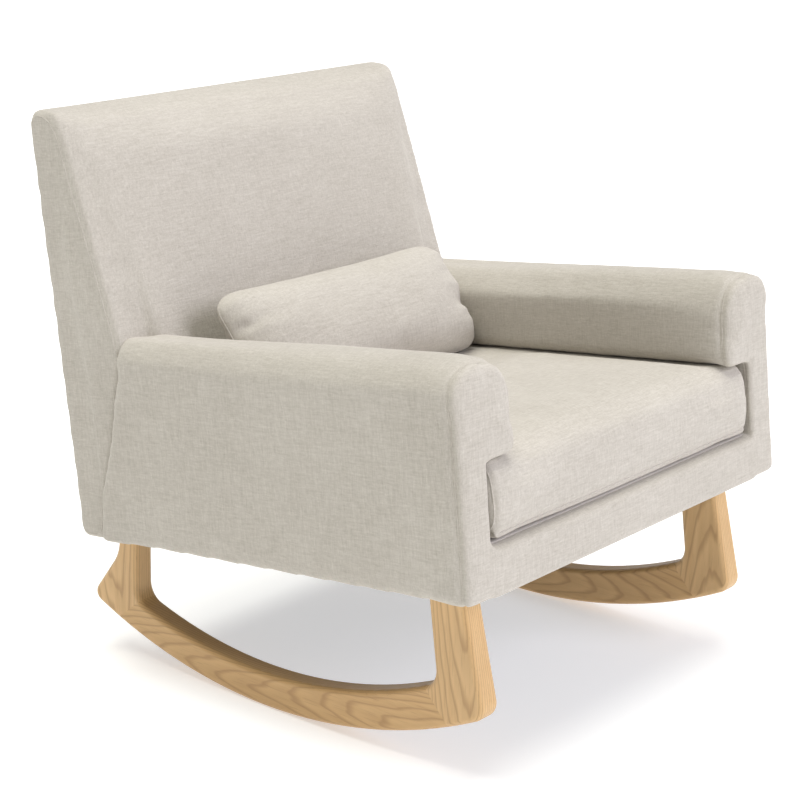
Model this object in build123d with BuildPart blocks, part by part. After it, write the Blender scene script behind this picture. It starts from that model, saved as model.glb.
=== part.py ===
from build123d import *
import math
import os

os.makedirs("parts", exist_ok=True)

# Upholstered rocking chair. Millimetres, +Z up, front faces -Y, +X is the sitter's left.
# The two runners touch the floor at Z = 0, near Y = 0.
# The seat box is tipped back, so most parts are drawn in body axes:
# u runs rearward along the base of the box, v rises square to it, X is shared.

# overall box
half_width = 375.0
tip_angle = 6.0
base_front_y = -414.3
base_front_z = 284.0

# rockers
rocker_x = 306.5
rocker_thick = 38.0
runner_radius = 880.0
runner_centre_y = 12.0
window_radius = 780.0
window_centre_y = 25.0
window_low_z = 53.0
rocker_round = 8.0
toe_y = -400.5
heel_y = 384.0
dowel_radius = 4.0
dowel_length = 44.0
fit_gap = 0.05

# arms
arm_top_v = 321.0
arm_under_v = 184.0
arm_inner_x = 262.0
wall_inner_x = 320.0
wall_low_x = 329.0
arm_front_u = 0.0
arm_outer_round = 44.0
arm_inner_round = 40.0

# seat frame
rail_bottom_v = 4.0
rail_top_v = 56.0
rail_inner_x = 287.5
rail_outer_x = 325.5
front_rail_u = 10.0
front_rail_thick = 38.0
rear_rail_u = 700.0
rear_rail_thick = 38.0
deck_bottom_v = 61.0
deck_top_v = 69.8

# back
back_top_v = 646.0
back_lean = 0.2587
back_front_u = 548.0
back_front_v = 72.0
back_foam_v = 130.0
panel_top_v = 606.0
stile_inner_x = 326.0
stile_outer_x = 361.0

# fixings
bolt_radius = 3.0
bolt_head_radius = 5.5
washer_radius = 8.0
insert_radius = 5.0
bolt_depth_v = -44.0

# loose cushions
cushion_half = 319.0
cushion_bottom_v = 70.2
cushion_top_v = 183.4
cushion_front_u = 6.0
pillow_half = 258.0

tip = math.radians(tip_angle)
tip_cos = math.cos(tip)
tip_sin = math.sin(tip)


def world(u, v):
    """Y and Z of a point given in body axes."""
    y = base_front_y + u * tip_cos + v * tip_sin
    z = base_front_z - u * tip_sin + v * tip_cos
    return y, z


def side_plane(x):
    """Sketches here read (u, v) and extrude toward +X."""
    return Plane(
        origin=(x, base_front_y, base_front_z),
        x_dir=(0, tip_cos, -tip_sin),
        z_dir=(1, 0, 0),
    )


def deck_plane(v):
    """Sketches here read (X, u) and extrude upward along v."""
    y, z = world(0, v)
    return Plane(origin=(0, y, z), x_dir=(1, 0, 0), z_dir=(0, tip_sin, tip_cos))


def front_plane(u):
    """Sketches here read (X, v) and extrude forward; a negative amount runs rearward."""
    y, z = world(u, 0)
    return Plane(origin=(0, y, z), x_dir=(1, 0, 0), z_dir=(0, -tip_cos, tip_sin))


def body_block(x0, x1, u0, u1, v0, v1):
    """A rectangular block given by its limits in body axes."""
    with BuildPart() as block:
        with BuildSketch(deck_plane(v0)):
            with Locations(((x0 + x1) / 2, (u0 + u1) / 2)):
                Rectangle(abs(x1 - x0), u1 - u0)
        extrude(amount=v1 - v0)
    return block.part


def body_pins(points, v0, v1, radius):
    """Round pins along v at each (X, u)."""
    with BuildPart() as pins:
        with BuildSketch(deck_plane(v0)):
            with Locations(*points):
                Circle(radius)
        extrude(amount=v1 - v0)
    return pins.part


def side_prism(points, x0, x1):
    """A straight-sided prism across X from a (u, v) outline."""
    with BuildPart() as prism:
        with BuildSketch(side_plane(x0)):
            with BuildLine():
                Polyline(*points, close=True)
            make_face()
        extrude(amount=x1 - x0)
    return prism.part


# ---- rockers: each is a front leg, a runner and a rear leg, mitred and dowelled ----


def leg_top_z(y):
    """The legs stop just under the dust cover, parallel to the base."""
    return base_front_z - (y - base_front_y) * math.tan(tip) - 1.4


def arc_z(centre_y, low_z, radius, y):
    """Height at y of an upward-opening arc."""
    return low_z + radius - math.sqrt(radius**2 - (y - centre_y) ** 2)


def rocker_blank(x_mid):
    """The whole sculpted rocker before it is cut at its joints."""
    toe = (toe_y, arc_z(runner_centre_y, 0.0, runner_radius, toe_y))
    heel = (heel_y, arc_z(runner_centre_y, 0.0, runner_radius, heel_y))
    window_front = (-317.0, arc_z(window_centre_y, window_low_z, window_radius, -317.0))
    window_rear = (282.5, arc_z(window_centre_y, window_low_z, window_radius, 282.5))
    hock = (321.0, 163.0)
    with BuildPart() as blank:
        with BuildSketch(Plane.YZ.offset(x_mid - rocker_thick / 2)) as outline:
            with BuildLine():
                ThreePointArc(toe, (runner_centre_y, 0), heel)
                Polyline(
                    heel,
                    hock,
                    (314.5, leg_top_z(314.5)),
                    (278.0, leg_top_z(278.0)),
                    window_rear,
                )
                ThreePointArc(window_rear, (window_centre_y, window_low_z), window_front)
                Polyline(
                    window_front,
                    (-300.0, leg_top_z(-300.0)),
                    (-361.0, leg_top_z(-361.0)),
                    toe,
                )
            make_face()
            fillet(outline.vertices().sort_by_distance((*toe, 0))[0], radius=24.0)
            fillet(outline.vertices().sort_by_distance((*heel, 0))[0], radius=16.0)
            fillet(outline.vertices().sort_by_distance((*hock, 0))[0], radius=70.0)
            fillet(outline.vertices().sort_by_distance((*window_front, 0))[0], radius=30.0)
            fillet(outline.vertices().sort_by_distance((*window_rear, 0))[0], radius=30.0)
        extrude(amount=rocker_thick)
        sides = blank.faces().filter_by(Axis.X)
        rims = [e for f in sides for e in f.edges() if e.center().Z < leg_top_z(e.center().Y) - 3.0]
        fillet(rims, radius=rocker_round)
    return blank.part


def joint_region(x_mid, points):
    """A (Y, Z) outline as thick as the rocker, used to share it out between its pieces."""
    with BuildPart() as region:
        with BuildSketch(Plane.YZ.offset(x_mid - rocker_thick)):
            with BuildLine():
                Polyline(*points, close=True)
            make_face()
        extrude(amount=2 * rocker_thick)
    return region.part


front_mitre = [(-292.0, 127.0), (-352.0, 60.0)]
rear_mitre = [(270.0, 100.0), (330.0, 52.0)]
front_region = [(-250.0, 127.0), *front_mitre, (-352.0, 0.0), (-450.0, 0.0), (-450.0, 320.0), (-250.0, 320.0)]
rear_region = [(230.0, 100.0), *rear_mitre, (330.0, 0.0), (430.0, 0.0), (430.0, 260.0), (230.0, 260.0)]


def mitre_dowels(x_mid):
    """Two dowels square across each mitre."""
    pins = []
    for (y0, z0), (y1, z1) in (front_mitre, rear_mitre):
        run = math.hypot(y1 - y0, z1 - z0)
        across = ((z1 - z0) / run, -(y1 - y0) / run)
        for share in (0.36, 0.66):
            y = y0 + share * (y1 - y0)
            z = z0 + share * (z1 - z0)
            start = (x_mid, y - across[0] * dowel_length / 2, z - across[1] * dowel_length / 2)
            pins.append(Plane(origin=start, z_dir=(0, across[0], across[1])))
    return pins


def dowel_pins(x_mid, radius, extra):
    """The dowels, or their holes when given a little extra length and radius."""
    with BuildPart() as pins:
        for plane in mitre_dowels(x_mid):
            with BuildSketch(plane.offset(-extra)):
                Circle(radius)
            extrude(amount=dowel_length + 2 * extra)
    return pins.part


front_bolt_u = (70.0, 98.0)
rear_bolt_u = 716.0
rear_bolt_gap = 9.5
bolt_points = []
for side in (-1, 1):
    for bolt_u in front_bolt_u:
        bolt_points.append((side * rocker_x, bolt_u))
    for shift in (-rear_bolt_gap, rear_bolt_gap):
        bolt_points.append((side * (rocker_x + shift), rear_bolt_u))

insert_bores = body_pins(bolt_points, -18.0, 2.0, insert_radius + fit_gap)
bolt_bores = body_pins(bolt_points, bolt_depth_v - 2.0, 62.0, bolt_radius + fit_gap)
head_bores = body_pins(bolt_points, 47.0, 62.0, washer_radius + 0.5)

with BuildPart() as front_leg_right:
    add(rocker_blank(-rocker_x))
    add(joint_region(-rocker_x, front_region), mode=Mode.INTERSECT)
    add(dowel_pins(-rocker_x, dowel_radius + fit_gap, 0.5), mode=Mode.SUBTRACT)
    add(insert_bores, mode=Mode.SUBTRACT)
    add(bolt_bores, mode=Mode.SUBTRACT)
front_leg_right.part.label = "front_leg_right"
export_step(front_leg_right.part, "parts/front_leg_right.step")

with BuildPart() as rear_leg_right:
    add(rocker_blank(-rocker_x))
    add(joint_region(-rocker_x, rear_region), mode=Mode.INTERSECT)
    add(dowel_pins(-rocker_x, dowel_radius + fit_gap, 0.5), mode=Mode.SUBTRACT)
    add(insert_bores, mode=Mode.SUBTRACT)
    add(bolt_bores, mode=Mode.SUBTRACT)
rear_leg_right.part.label = "rear_leg_right"
export_step(rear_leg_right.part, "parts/rear_leg_right.step")

with BuildPart() as runner_right:
    add(rocker_blank(-rocker_x))
    add(joint_region(-rocker_x, front_region), mode=Mode.SUBTRACT)
    add(joint_region(-rocker_x, rear_region), mode=Mode.SUBTRACT)
    add(dowel_pins(-rocker_x, dowel_radius + fit_gap, 0.5), mode=Mode.SUBTRACT)
runner_right.part.label = "runner_right"
export_step(runner_right.part, "parts/runner_right.step")

with BuildPart() as front_leg_left:
    add(rocker_blank(rocker_x))
    add(joint_region(rocker_x, front_region), mode=Mode.INTERSECT)
    add(dowel_pins(rocker_x, dowel_radius + fit_gap, 0.5), mode=Mode.SUBTRACT)
    add(insert_bores, mode=Mode.SUBTRACT)
    add(bolt_bores, mode=Mode.SUBTRACT)
front_leg_left.part.label = "front_leg_left"
export_step(front_leg_left.part, "parts/front_leg_left.step")

with BuildPart() as rear_leg_left:
    add(rocker_blank(rocker_x))
    add(joint_region(rocker_x, rear_region), mode=Mode.INTERSECT)
    add(dowel_pins(rocker_x, dowel_radius + fit_gap, 0.5), mode=Mode.SUBTRACT)
    add(insert_bores, mode=Mode.SUBTRACT)
    add(bolt_bores, mode=Mode.SUBTRACT)
rear_leg_left.part.label = "rear_leg_left"
export_step(rear_leg_left.part, "parts/rear_leg_left.step")

with BuildPart() as runner_left:
    add(rocker_blank(rocker_x))
    add(joint_region(rocker_x, front_region), mode=Mode.SUBTRACT)
    add(joint_region(rocker_x, rear_region), mode=Mode.SUBTRACT)
    add(dowel_pins(rocker_x, dowel_radius + fit_gap, 0.5), mode=Mode.SUBTRACT)
runner_left.part.label = "runner_left"
export_step(runner_left.part, "parts/runner_left.step")

with BuildPart() as joint_dowels:
    add(dowel_pins(-rocker_x, dowel_radius, 0.0))
    add(dowel_pins(rocker_x, dowel_radius, 0.0))
joint_dowels.part.label = "joint_dowels"
export_step(joint_dowels.part, "parts/joint_dowels.step")

# ---- leg fixings: bolts drop through the rails into threaded inserts in the leg tops ----

with BuildPart() as leg_bolts:
    add(body_pins(bolt_points, bolt_depth_v, 48.6, bolt_radius))
    with BuildSketch(deck_plane(48.6)):
        with Locations(*bolt_points):
            RegularPolygon(bolt_head_radius, 6)
    extrude(amount=4.0)
leg_bolts.part.label = "leg_bolts"
export_step(leg_bolts.part, "parts/leg_bolts.step")

with BuildPart() as leg_washers:
    add(body_pins(bolt_points, 47.05, 48.55, washer_radius))
    add(body_pins(bolt_points, 46.0, 50.0, bolt_radius + fit_gap), mode=Mode.SUBTRACT)
leg_washers.part.label = "leg_washers"
export_step(leg_washers.part, "parts/leg_washers.step")

with BuildPart() as leg_inserts:
    add(body_pins(bolt_points, -17.5, -1.8, insert_radius))
    add(body_pins(bolt_points, -19.0, 0.0, bolt_radius + fit_gap), mode=Mode.SUBTRACT)
leg_inserts.part.label = "leg_inserts"
export_step(leg_inserts.part, "parts/leg_inserts.step")

# ---- seat frame ----

with BuildPart() as front_rail:
    add(
        body_block(
            -rail_outer_x,
            rail_outer_x,
            front_rail_u,
            front_rail_u + front_rail_thick,
            rail_bottom_v,
            rail_top_v,
        )
    )
front_rail.part.label = "front_rail"
export_step(front_rail.part, "parts/front_rail.step")

with BuildPart() as rear_rail:
    add(
        body_block(
            -stile_inner_x + 0.4,
            stile_inner_x - 0.4,
            rear_rail_u,
            rear_rail_u + rear_rail_thick,
            rail_bottom_v,
            rail_top_v,
        )
    )
    add(bolt_bores, mode=Mode.SUBTRACT)
    add(head_bores, mode=Mode.SUBTRACT)
rear_rail.part.label = "rear_rail"
export_step(rear_rail.part, "parts/rear_rail.step")

side_rail_start = front_rail_u + front_rail_thick + 0.1
side_rail_end = rear_rail_u - 0.2

with BuildPart() as side_rail_right:
    add(body_block(-rail_outer_x, -rail_inner_x, side_rail_start, side_rail_end, rail_bottom_v, rail_top_v))
    add(bolt_bores, mode=Mode.SUBTRACT)
    add(head_bores, mode=Mode.SUBTRACT)
side_rail_right.part.label = "side_rail_right"
export_step(side_rail_right.part, "parts/side_rail_right.step")

with BuildPart() as side_rail_left:
    add(body_block(rail_inner_x, rail_outer_x, side_rail_start, side_rail_end, rail_bottom_v, rail_top_v))
    add(bolt_bores, mode=Mode.SUBTRACT)
    add(head_bores, mode=Mode.SUBTRACT)
side_rail_left.part.label = "side_rail_left"
export_step(side_rail_left.part, "parts/side_rail_left.step")

corner = rail_inner_x - 0.1
block_front = front_rail_u + front_rail_thick + 0.1
block_rear = rear_rail_u - 0.1
block_leg = 90.0

with BuildPart() as corner_blocks:
    with BuildSketch(deck_plane(rail_bottom_v)):
        for side in (-1, 1):
            with BuildLine():
                Polyline(
                    (side * corner, block_front),
                    (side * (corner - block_leg), block_front),
                    (side * corner, block_front + block_leg),
                    close=True,
                )
            make_face()
            with BuildLine():
                Polyline(
                    (side * corner, block_rear),
                    (side * (corner - block_leg), block_rear),
                    (side * corner, block_rear - block_leg),
                    close=True,
                )
            make_face()
    extrude(amount=34.0)
corner_blocks.part.label = "corner_blocks"
export_step(corner_blocks.part, "parts/corner_blocks.step")

with BuildPart() as seat_webbing_long:
    with BuildSketch(deck_plane(rail_top_v + 0.2)):
        with GridLocations(84.0, 0, 6, 1):
            with Locations((0, (front_rail_u + rear_rail_u + rear_rail_thick) / 2)):
                Rectangle(50.0, rear_rail_u + rear_rail_thick - front_rail_u - 6.0)
    extrude(amount=2.0)
seat_webbing_long.part.label = "seat_webbing_long"
export_step(seat_webbing_long.part, "parts/seat_webbing_long.step")

with BuildPart() as seat_webbing_cross:
    with BuildSketch(deck_plane(rail_top_v + 2.5)):
        with Locations((0, 150), (0, 260), (0, 370), (0, 480), (0, 590)):
            Rectangle(2 * rail_outer_x - 6.0, 50.0)
    extrude(amount=2.0)
seat_webbing_cross.part.label = "seat_webbing_cross"
export_step(seat_webbing_cross.part, "parts/seat_webbing_cross.step")

with BuildPart() as seat_deck:
    add(
        body_block(
            -wall_inner_x + 0.5,
            wall_inner_x - 0.5,
            front_rail_u,
            rear_rail_u - 12.0,
            deck_bottom_v,
            deck_top_v,
        )
    )
seat_deck.part.label = "seat_deck"
export_step(seat_deck.part, "parts/seat_deck.step")

with BuildPart() as dust_cover:
    add(body_block(-wall_low_x + 0.5, wall_low_x - 0.5, 12.0, 746.0, -1.2, -0.4))
    add(body_pins(bolt_points, -3.0, 1.0, bolt_radius + 0.6), mode=Mode.SUBTRACT)
dust_cover.part.label = "dust_cover"
export_step(dust_cover.part, "parts/dust_cover.step")

# ---- back frame ----

stile_outline = [(612.0, 5.0), (748.0, 5.0), (761.0, 628.0), (727.0, 628.0)]
stile_pocket = [(610.3, -1.0), (748.6, -1.0), (761.6, 628.6), (726.4, 628.6)]


def stile_front_u(v):
    """The stiles' front edge, where the back webbing is stapled."""
    return 612.0 + (v - 5.0) * 115.0 / 623.0


def stile_rear_u(v):
    """The stiles' rear edge, where the outside back is stapled."""
    return 748.0 + (v - 5.0) * 13.0 / 623.0


with BuildPart() as back_stile_right:
    add(side_prism(stile_outline, -stile_outer_x, -stile_inner_x))
back_stile_right.part.label = "back_stile_right"
export_step(back_stile_right.part, "parts/back_stile_right.step")

with BuildPart() as back_stile_left:
    add(side_prism(stile_outline, stile_inner_x, stile_outer_x))
back_stile_left.part.label = "back_stile_left"
export_step(back_stile_left.part, "parts/back_stile_left.step")

rail_half = stile_inner_x - 0.1
lower_rail_v = (110.0, 170.0)
lower_rail_thick = 28.0

with BuildPart() as back_top_rail:
    add(
        side_prism(
            [
                (stile_front_u(582.0), 582.0),
                (stile_rear_u(582.0), 582.0),
                (stile_rear_u(628.0), 628.0),
                (stile_front_u(628.0), 628.0),
            ],
            -rail_half,
            rail_half,
        )
    )
back_top_rail.part.label = "back_top_rail"
export_step(back_top_rail.part, "parts/back_top_rail.step")


def lower_rail(x0, x1, gap):
    """The rail behind the seat cushion, or the room for it when given a gap."""
    low, high = lower_rail_v
    outline = [
        (stile_front_u(low) - gap, low - gap),
        (stile_front_u(low) + lower_rail_thick + gap, low - gap),
        (stile_front_u(high) + lower_rail_thick + gap, high + gap),
        (stile_front_u(high) - gap, high + gap),
    ]
    return side_prism(outline, x0, x1)


with BuildPart() as back_lower_rail:
    add(lower_rail(-rail_half, rail_half, 0.0))
back_lower_rail.part.label = "back_lower_rail"
export_step(back_lower_rail.part, "parts/back_lower_rail.step")

with BuildPart() as back_webbing:
    for strap_v in (228.0, 320.0, 410.0, 500.0):
        add(
            side_prism(
                [
                    (stile_front_u(strap_v) - 2.4, strap_v),
                    (stile_front_u(strap_v) - 0.4, strap_v),
                    (stile_front_u(strap_v + 50.0) - 0.4, strap_v + 50.0),
                    (stile_front_u(strap_v + 50.0) - 2.4, strap_v + 50.0),
                ],
                -stile_outer_x + 4.0,
                stile_outer_x - 4.0,
            )
        )
back_webbing.part.label = "back_webbing"
export_step(back_webbing.part, "parts/back_webbing.step")

# ---- arm frames ----

post_outer_x = 362.0
post_inner_x = 333.0
post_depth = 80.0
board_bottom_v = 284.5
board_top_v = 302.5


def arm_board(side):
    """The board under the arm padding, with a tongue that reaches the back stile."""
    with BuildPart() as board:
        add(body_block(side * 291.0, side * post_outer_x, 26.0, 590.0, board_bottom_v, board_top_v))
        add(body_block(side * 326.0, side * 360.0, 589.0, 663.2, board_bottom_v, board_top_v))
    return board.part


with BuildPart() as arm_post_right:
    add(body_block(-post_outer_x, -post_inner_x, 10.0, 10.0 + post_depth, rail_bottom_v, board_bottom_v - 0.1))
arm_post_right.part.label = "arm_post_right"
export_step(arm_post_right.part, "parts/arm_post_right.step")

with BuildPart() as arm_post_left:
    add(body_block(post_inner_x, post_outer_x, 10.0, 10.0 + post_depth, rail_bottom_v, board_bottom_v - 0.1))
arm_post_left.part.label = "arm_post_left"
export_step(arm_post_left.part, "parts/arm_post_left.step")

with BuildPart() as arm_board_right:
    add(arm_board(-1))
arm_board_right.part.label = "arm_board_right"
export_step(arm_board_right.part, "parts/arm_board_right.step")

with BuildPart() as arm_board_left:
    add(arm_board(1))
arm_board_left.part.label = "arm_board_left"
export_step(arm_board_left.part, "parts/arm_board_left.step")

with BuildPart() as side_panel_right:
    add(body_block(-366.6, -364.0, 12.0, 598.0, 5.0, 283.0))
side_panel_right.part.label = "side_panel_right"
export_step(side_panel_right.part, "parts/side_panel_right.step")

with BuildPart() as side_panel_left:
    add(body_block(364.0, 366.6, 12.0, 598.0, 5.0, 283.0))
side_panel_left.part.label = "side_panel_left"
export_step(side_panel_left.part, "parts/side_panel_left.step")

# ---- upholstery: foam, wadding and cover together, one solid each ----


def seam_u(v):
    """The outer seam between back and arm, above the arm top."""
    return 619.5 + (v - 284.0) * 0.2587


def wing_outline(shift):
    """The back seen from the side at its outer ends; a shift moves its front edge."""
    return [
        (700.0 - shift, -1.0 if shift else 0.0),
        (690.0 - shift, 72.0),
        (676.0 - shift, 112.0),
        (659.0 - shift, 160.0),
        (643.0 - shift, 221.0),
        (628.0 - shift, 262.0),
        (seam_u(300.0) - shift, 300.0),
    ]


def back_fill_u(v):
    """The padded front of the back between the arms."""
    return back_front_u + (v - back_front_v) * back_lean


def arm_solid(side):
    """One padded arm with its wall, cut at the back and hollow round its frame."""
    outer = half_width
    with BuildPart() as arm:
        with BuildSketch(front_plane(arm_front_u)):
            with BuildLine():
                Polyline(
                    (side * wall_low_x, 0.0),
                    (side * outer, 0.0),
                    (side * outer, arm_top_v),
                    (side * arm_inner_x, arm_top_v),
                    (side * arm_inner_x, arm_under_v),
                    (side * wall_inner_x, arm_under_v),
                    (side * wall_inner_x, 60.8),
                    (side * wall_low_x, 60.8),
                    close=True,
                )
            make_face()
        extrude(amount=-720.0)
        along = arm.edges().filter_by(Axis((0, 0, 0), (0, tip_cos, -tip_sin)))
        top_outer = along.filter_by(lambda e: e.center().Z > 520 and abs(e.center().X) > outer - 1)
        top_inner = along.filter_by(lambda e: e.center().Z > 520 and abs(e.center().X) < arm_inner_x + 1)
        fillet(top_outer, radius=arm_outer_round)
        fillet(top_inner, radius=arm_inner_round)
        under = arm.edges().filter_by(Axis((0, 0, 0), (0, tip_cos, -tip_sin)))
        under = under.filter_by(
            lambda e: abs(e.center().X) < arm_inner_x + 1 and e.center().Z < 500,
        )
        fillet(under, radius=10.0)
        nose = arm.faces().sort_by(Axis((0, 0, 0), (0, -tip_cos, tip_sin)))[-1]
        fillet(nose.edges().filter_by(lambda e: e.center().Z > 380), radius=12.0)
        rear = wing_outline(0.6) + [(seam_u(400.0) - 0.6, 400.0), (800.0, 400.0), (800.0, -1.0)]
        add(side_prism(rear, side * outer - 60.0, side * outer + 60.0), mode=Mode.SUBTRACT)
        inner_rear = [
            (back_fill_u(20.0) - 0.6, 20.0),
            (back_fill_u(360.0) - 0.6, 360.0),
            (800.0, 360.0),
            (800.0, 20.0),
        ]
        low, high = sorted((side * 200.0, side * (wall_inner_x + 0.4)))
        add(side_prism(inner_rear, low, high), mode=Mode.SUBTRACT)
        low, high = sorted((side * (stile_inner_x - 1.0), side * (stile_outer_x + 0.6)))
        add(side_prism(stile_pocket, low, high), mode=Mode.SUBTRACT)
        low, high = sorted((side * (wall_inner_x - 1.0), side * (stile_inner_x + 0.5)))
        add(lower_rail(low, high, 0.5), mode=Mode.SUBTRACT)
        add(body_block(side * 332.5, side * 367.0, 9.5, 600.0, -1.0, 284.6), mode=Mode.SUBTRACT)
        add(body_block(side * 290.5, side * 362.5, 25.5, 591.0, 284.0, 303.0), mode=Mode.SUBTRACT)
        add(body_block(side * 325.5, side * 360.5, 588.0, 690.0, 284.0, 303.0), mode=Mode.SUBTRACT)
    return arm.part


with BuildPart() as arm_right:
    add(arm_solid(-1))
arm_right.part.label = "arm_right"
export_step(arm_right.part, "parts/arm_right.step")

with BuildPart() as arm_left:
    add(arm_solid(1))
arm_left.part.label = "arm_left"
export_step(arm_left.part, "parts/arm_left.step")

top_front = (seam_u(back_top_v), back_top_v)
top_rear = (767.8, back_top_v)

with BuildPart() as back_pad:
    with BuildSketch(side_plane(-half_width + 2.0)) as back_side:
        with BuildLine():
            Polyline(
                *wing_outline(0.0),
                top_front,
                top_rear,
                (766.8, panel_top_v + 0.5),
                (762.4, panel_top_v + 0.5),
                (749.2, 0.0),
                close=True,
            )
        make_face()
        fillet(back_side.vertices().sort_by_distance((*top_front, 0))[0], radius=29.0)
        fillet(back_side.vertices().sort_by_distance((*top_rear, 0))[0], radius=24.0)
    extrude(amount=2 * half_width - 4.0)
    ends = back_pad.faces().filter_by(Axis.X)
    upper = [e for f in ends for e in f.edges() if e.center().Z > 600 and e.length > 20]
    fillet(upper, radius=14.0)
    add(
        side_prism(
            [
                (back_fill_u(back_foam_v), back_foam_v),
                (back_fill_u(585.0), 585.0),
                (seam_u(600.0) + 2.0, 606.0),
                (740.0, 606.0),
                (690.0, back_foam_v),
            ],
            -wall_inner_x + 0.5,
            wall_inner_x - 0.5,
        )
    )
    hollow = [
        (stile_front_u(-1.0) - 3.0, -2.0),
        (stile_front_u(628.0) - 3.0, 628.6),
        (761.7, 628.6),
        (761.7, 606.8),
        (764.0, 606.4),
        (752.0, -2.0),
    ]
    add(side_prism(hollow, -stile_inner_x - 0.4, stile_inner_x + 0.4), mode=Mode.SUBTRACT)
    below = [(500.0, -2.0), (500.0, back_foam_v), (760.0, back_foam_v), (749.0, -2.0)]
    add(side_prism(below, -stile_inner_x - 0.4, stile_inner_x + 0.4), mode=Mode.SUBTRACT)
    for side in (-1, 1):
        low, high = sorted((side * (stile_inner_x - 1.0), side * (stile_outer_x + 0.6)))
        add(side_prism(stile_pocket, low, high), mode=Mode.SUBTRACT)
        strap_room = [
            (stile_front_u(220.0) - 3.0, 220.0),
            (stile_front_u(220.0) + 1.0, 220.0),
            (stile_front_u(560.0) + 1.0, 560.0),
            (stile_front_u(560.0) - 3.0, 560.0),
        ]
        add(side_prism(strap_room, low, high), mode=Mode.SUBTRACT)
        add(body_block(side * 325.5, side * 360.5, 600.0, 690.0, 284.0, 303.0), mode=Mode.SUBTRACT)
back_pad.part.label = "back_pad"
export_step(back_pad.part, "parts/back_pad.step")

with BuildPart() as outside_back:
    add(
        side_prism(
            [(749.4, 0.0), (753.0, 0.0), (766.8, panel_top_v), (762.8, panel_top_v)],
            -half_width + 3.0,
            half_width - 3.0,
        )
    )
outside_back.part.label = "outside_back"
export_step(outside_back.part, "parts/outside_back.step")

with BuildPart() as front_border:
    add(body_block(-wall_inner_x + 0.5, wall_inner_x - 0.5, 0.0, 9.6, 0.0, 69.4))
    edge_line = front_border.edges().filter_by(Axis.X).sort_by(Axis.Y)[:2]
    fillet(edge_line, radius=5.0)
    add(body_block(-wall_low_x + 0.4, wall_low_x - 0.4, 0.5, 9.6, 0.5, 60.2))
front_border.part.label = "front_border"
export_step(front_border.part, "parts/front_border.step")

# ---- loose cushions ----

with BuildPart() as seat_cushion:
    with BuildSketch(side_plane(-cushion_half)):
        with BuildLine():
            Polyline(
                (cushion_front_u, cushion_bottom_v),
                (cushion_front_u, cushion_top_v),
                (back_fill_u(cushion_top_v) - 1.0, cushion_top_v),
                (back_fill_u(cushion_bottom_v) - 1.0, cushion_bottom_v),
                close=True,
            )
        make_face()
    extrude(amount=2 * cushion_half)
    nose_line = seat_cushion.edges().filter_by(Axis.X).sort_by(Axis.Y)[:2]
    fillet(nose_line, radius=22.0)
seat_cushion.part.label = "seat_cushion"
export_step(seat_cushion.part, "parts/seat_cushion.step")

pillow_low = (464.0, 187.5)
pillow_high = (553.0, 356.0)
pillow_bulge = 62.0
pillow_reach = 132.0
pillow_run = math.hypot(pillow_high[0] - pillow_low[0], pillow_high[1] - pillow_low[1])
pillow_mid = ((pillow_low[0] + pillow_high[0]) / 2, (pillow_low[1] + pillow_high[1]) / 2)
pillow_side = (
    (pillow_high[1] - pillow_low[1]) / pillow_run,
    -(pillow_high[0] - pillow_low[0]) / pillow_run,
)

with BuildPart() as lumbar_pillow:
    with BuildSketch(side_plane(-pillow_half)):
        with BuildLine():
            ThreePointArc(
                pillow_low,
                (pillow_mid[0] + pillow_side[0] * pillow_bulge, pillow_mid[1] + pillow_side[1] * pillow_bulge),
                pillow_high,
            )
            ThreePointArc(
                pillow_high,
                (pillow_mid[0] - pillow_side[0] * pillow_bulge, pillow_mid[1] - pillow_side[1] * pillow_bulge),
                pillow_low,
            )
        make_face()
    extrude(amount=2 * pillow_half)
    with BuildSketch(deck_plane(pillow_low[1] - 5.0)):
        with BuildLine():
            ThreePointArc(
                (-pillow_half, pillow_mid[0]),
                (0, pillow_mid[0] - pillow_reach),
                (pillow_half, pillow_mid[0]),
            )
            ThreePointArc(
                (pillow_half, pillow_mid[0]),
                (0, pillow_mid[0] + pillow_reach),
                (-pillow_half, pillow_mid[0]),
            )
        make_face()
    extrude(amount=pillow_high[1] - pillow_low[1] + 10.0, mode=Mode.INTERSECT)
lumbar_pillow.part.label = "lumbar_pillow"
export_step(lumbar_pillow.part, "parts/lumbar_pillow.step")
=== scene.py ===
import math

import bmesh
import bpy
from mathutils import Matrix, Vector, noise
from mathutils.bvhtree import BVHTree


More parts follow.
